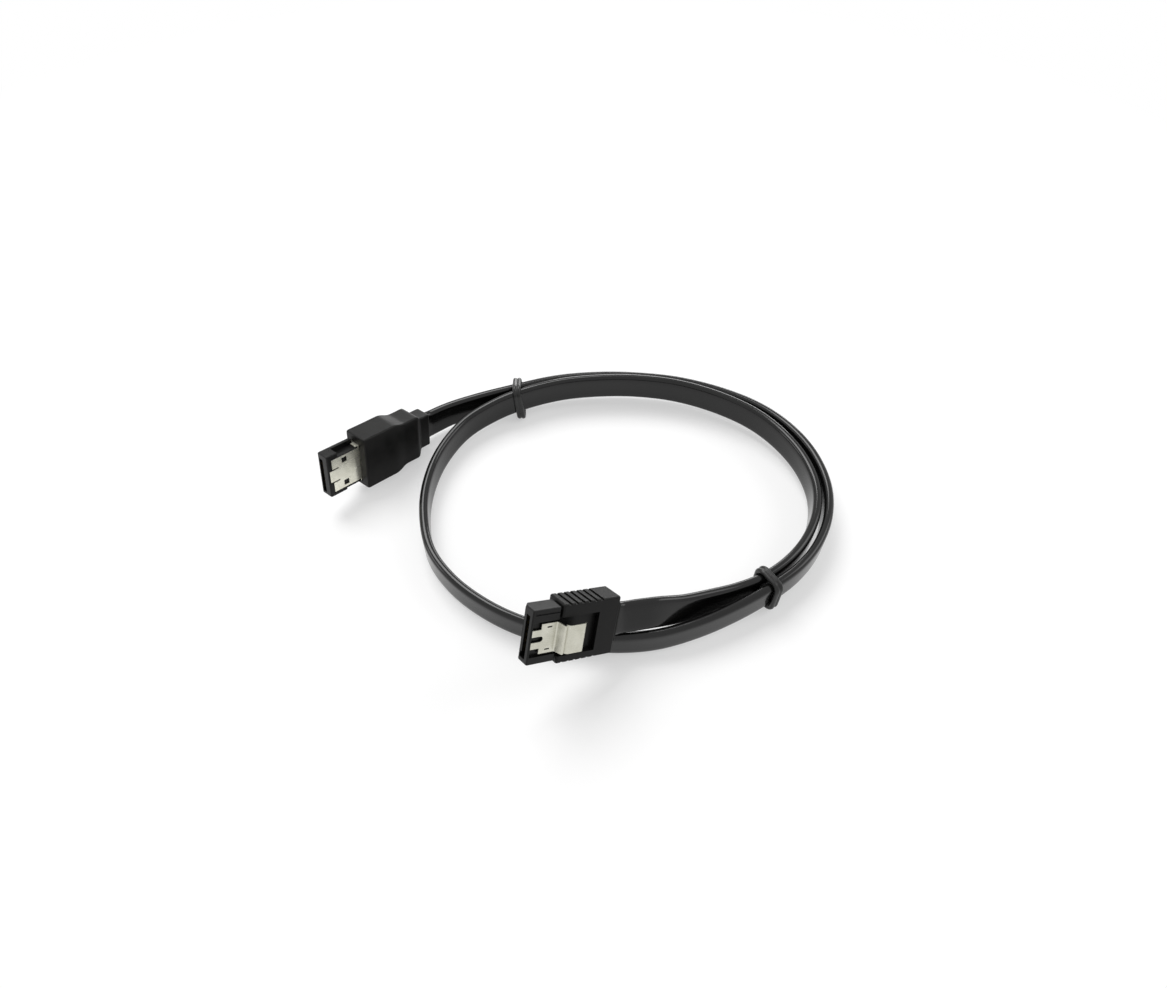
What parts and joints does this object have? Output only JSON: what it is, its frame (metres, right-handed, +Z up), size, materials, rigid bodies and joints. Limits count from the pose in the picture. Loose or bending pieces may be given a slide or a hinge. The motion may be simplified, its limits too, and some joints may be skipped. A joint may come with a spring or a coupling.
{
  "type": "flat serial data cable, external plug to latching internal plug",
  "caption": "Black flat serial data cable with an external-drive plug and a latching internal-drive plug, coiled on its edge in two ring ties",
  "frame": {"origin": "middle of the bounding box in X and Y, on the plane that the coil rests on", "axes": "+Z up, +X along the coil's long side and away from the external plug, -Y towards the viewer, where the latching plug is"},
  "size_m": [0.122, 0.091, 0.0274],
  "materials": {
    "jacket": "glossy black PVC",
    "moulding": "satin charcoal",
    "housing": "satin black",
    "tie": "satin black",
    "nickel": "nickel plate",
    "gold": "gold plate",
    "signal_wire": "smooth blue",
    "ground_wire": "tinned copper"
  },
  "bodies": {
    "cable": {"ribbon_jacket": "jacket", "rear_tie": "tie", "front_tie": "tie", "esata_overmould": "moulding", "esata_insulator": "housing", "esata_shield": "nickel", "sata_body": "moulding", "sata_insulator": "housing", "esata_contact_1": "gold", "esata_ground_wire_1": "ground_wire", "esata_contact_2": "gold", "esata_signal_wire_2": "signal_wire", "esata_contact_3": "gold", "esata_signal_wire_3": "signal_wire", "esata_contact_4": "gold", "esata_ground_wire_4": "ground_wire", "esata_contact_5": "gold", "esata_signal_wire_5": "signal_wire", "esata_contact_6": "gold", "esata_signal_wire_6": "signal_wire", "esata_contact_7": "gold", "esata_ground_wire_7": "ground_wire", "sata_contact_1": "gold", "sata_ground_wire_1": "ground_wire", "sata_contact_2": "gold", "sata_signal_wire_2": "signal_wire", "sata_contact_3": "gold", "sata_signal_wire_3": "signal_wire", "sata_contact_4": "gold", "sata_ground_wire_4": "ground_wire", "sata_contact_5": "gold", "sata_signal_wire_5": "signal_wire", "sata_contact_6": "gold", "sata_signal_wire_6": "signal_wire", "sata_contact_7": "gold", "sata_ground_wire_7": "ground_wire"},
    "latch": {"sata_latch": "nickel"}
  },
  "joints": [
    {"name": "latch_spring", "type": "hinge", "parent": "cable", "child": "latch", "pos_m": [-0.00597, -0.04122, 0.02105], "axis": [0.1206, 0.5746, 0.8095], "range_deg": [0, 4], "stiffness_Nm_per_rad": 0.05}
  ]
}
